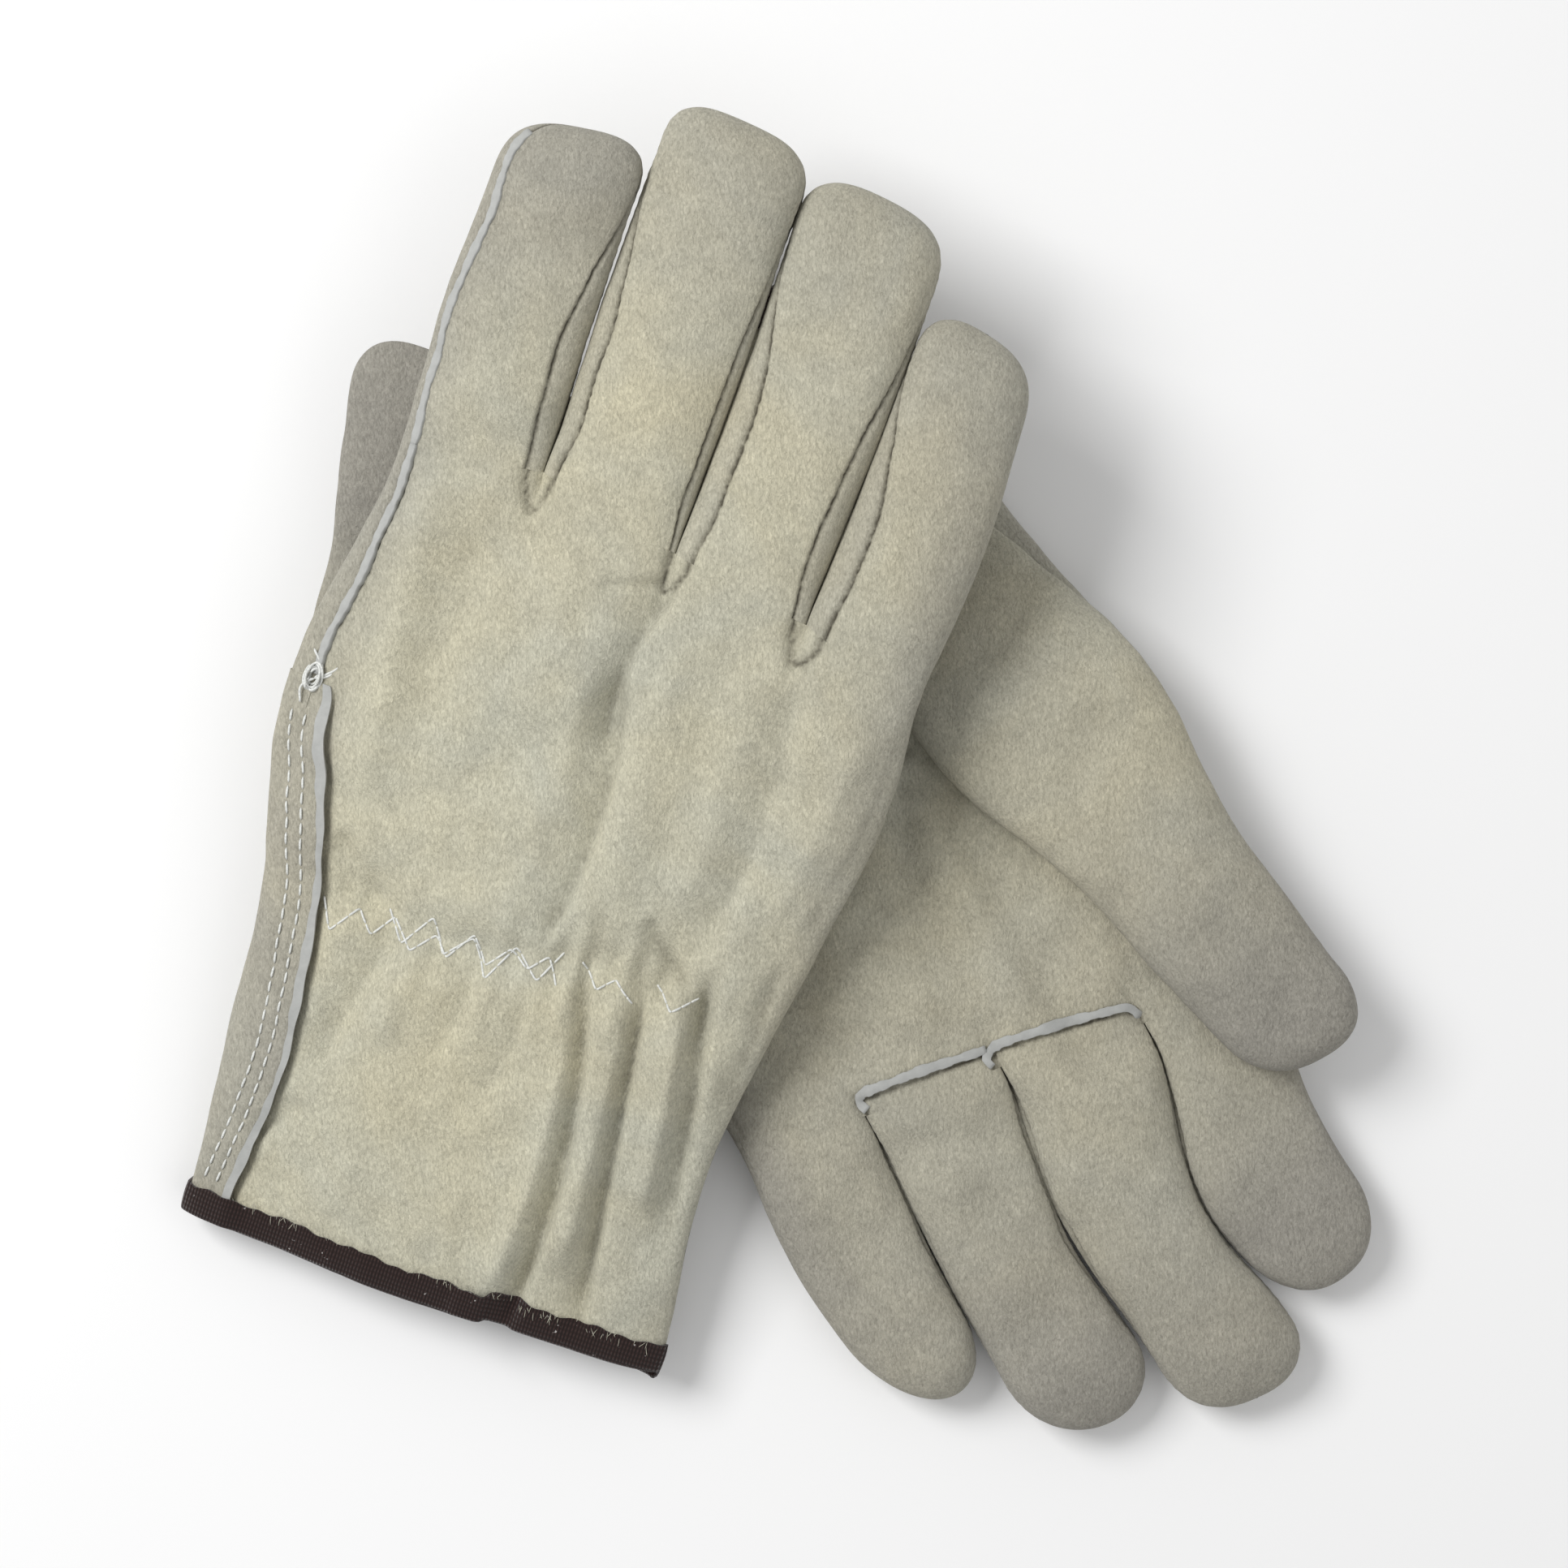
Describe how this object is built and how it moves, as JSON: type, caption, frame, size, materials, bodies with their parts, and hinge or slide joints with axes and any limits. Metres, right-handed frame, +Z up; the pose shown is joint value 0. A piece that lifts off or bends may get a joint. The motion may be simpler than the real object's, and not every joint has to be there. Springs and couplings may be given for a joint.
{
  "type": "work gloves",
  "caption": "Pair of soft suede leather work gloves with keystone thumbs, gathered wrists and dark bound cuffs, the right glove laid across the palm-up left one.",
  "frame": {"origin": "centre of the pair's outline, on the ground", "axes": "+Z up from the ground, +Y along the pair's length towards the right glove's fingertips, +X to the right seen from above"},
  "size_m": [0.2652, 0.2944, 0.0507],
  "materials": {
    "leather": "beige suede, mottled with yellow and blue-grey",
    "welt": "light grey smooth leather",
    "binding": "dark brown knitted tape",
    "elastic": "off-white woven elastic",
    "thread": "white thread"
  },
  "bodies": {
    "left_hand": {"left_back_panel": "leather", "left_cuff_binding": "binding", "left_gunn_welt": "welt", "left_palm_panel": "leather", "left_seam_knot": "thread", "left_side_welt": "welt", "left_thumb_gusset": "leather", "left_wrist_elastic": "elastic"},
    "left_index": {"left_index_back": "leather", "left_index_fourchette_outer": "leather", "left_index_front": "leather", "left_index_welt": "welt"},
    "left_middle": {"left_middle_back": "leather", "left_middle_fourchette_inner": "leather", "left_middle_fourchette_outer": "leather", "left_middle_front": "leather"},
    "left_ring": {"left_ring_back": "leather", "left_ring_fourchette_inner": "leather", "left_ring_fourchette_outer": "leather", "left_ring_front": "leather"},
    "left_little": {"left_little_back": "leather", "left_little_fourchette_inner": "leather", "left_little_front": "leather"},
    "left_thumb": {"left_thumb_inner": "leather", "left_thumb_outer": "leather"},
    "right_hand": {"right_back_panel": "leather", "right_cuff_binding": "binding", "right_gunn_welt": "welt", "right_palm_panel": "leather", "right_seam_knot": "thread", "right_side_welt": "welt", "right_thumb_gusset": "leather", "right_wrist_elastic": "elastic"},
    "right_index": {"right_index_back": "leather", "right_index_fourchette_outer": "leather", "right_index_front": "leather", "right_index_welt": "welt"},
    "right_middle": {"right_middle_back": "leather", "right_middle_fourchette_inner": "leather", "right_middle_fourchette_outer": "leather", "right_middle_front": "leather"},
    "right_ring": {"right_ring_back": "leather", "right_ring_fourchette_inner": "leather", "right_ring_fourchette_outer": "leather", "right_ring_front": "leather"},
    "right_little": {"right_little_back": "leather", "right_little_fourchette_inner": "leather", "right_little_front": "leather"},
    "right_thumb": {"right_thumb_inner": "leather", "right_thumb_outer": "leather"}
  },
  "joints": [
    {"name": "right_glove_lift", "type": "slide", "parent": "left_hand", "child": "right_hand", "axis": [0, 0, 1], "range_m": [0, 0.12]},
    {"name": "left_index_fold", "type": "hinge", "parent": "left_hand", "child": "left_index", "pos_m": [0.092, -0.04305, 0], "axis": [-0.8746, -0.4848, 0], "range_deg": [-35, 0]},
    {"name": "left_middle_fold", "type": "hinge", "parent": "left_hand", "child": "left_middle", "pos_m": [0.0633, -0.05729, 0.0152], "axis": [-0.8746, -0.4848, 0], "range_deg": [0, 75]},
    {"name": "left_ring_fold", "type": "hinge", "parent": "left_hand", "child": "left_ring", "pos_m": [0.03266, -0.06741, 0.0152], "axis": [-0.8746, -0.4848, 0], "range_deg": [0, 75]},
    {"name": "left_little_fold", "type": "hinge", "parent": "left_hand", "child": "left_little", "pos_m": [0.00307, -0.0757, 0.015], "axis": [-0.8746, -0.4848, 0], "range_deg": [0, 75]},
    {"name": "left_thumb_swing", "type": "hinge", "parent": "left_hand", "child": "left_thumb", "pos_m": [0.04873, 0.02324, 0.0242], "axis": [-0.8746, -0.4848, 0], "range_deg": [0, 60]},
    {"name": "right_index_fold", "type": "hinge", "parent": "right_hand", "child": "right_index", "pos_m": [-0.06698, 0.06927, 0.04439], "axis": [0.9402, -0.3366, 0.0523], "range_deg": [0, 60]},
    {"name": "right_middle_fold", "type": "hinge", "parent": "right_hand", "child": "right_middle", "pos_m": [-0.03737, 0.05714, 0.04581], "axis": [0.9402, -0.3366, 0.0523], "range_deg": [0, 70]},
    {"name": "right_ring_fold", "type": "hinge", "parent": "right_hand", "child": "right_ring", "pos_m": [-0.00951, 0.04088, 0.04644], "axis": [0.9402, -0.3366, 0.0523], "range_deg": [0, 70]},
    {"name": "right_little_fold", "type": "hinge", "parent": "right_hand", "child": "right_little", "pos_m": [0.01631, 0.02422, 0.04679], "axis": [0.9402, -0.3366, 0.0523], "range_deg": [0, 70]},
    {"name": "right_thumb_swing", "type": "hinge", "parent": "right_hand", "child": "right_thumb", "pos_m": [-0.10701, 0.00416, 0.01402], "axis": [-0.1065, -0.1445, 0.9838], "range_deg": [0, 35]}
  ]
}
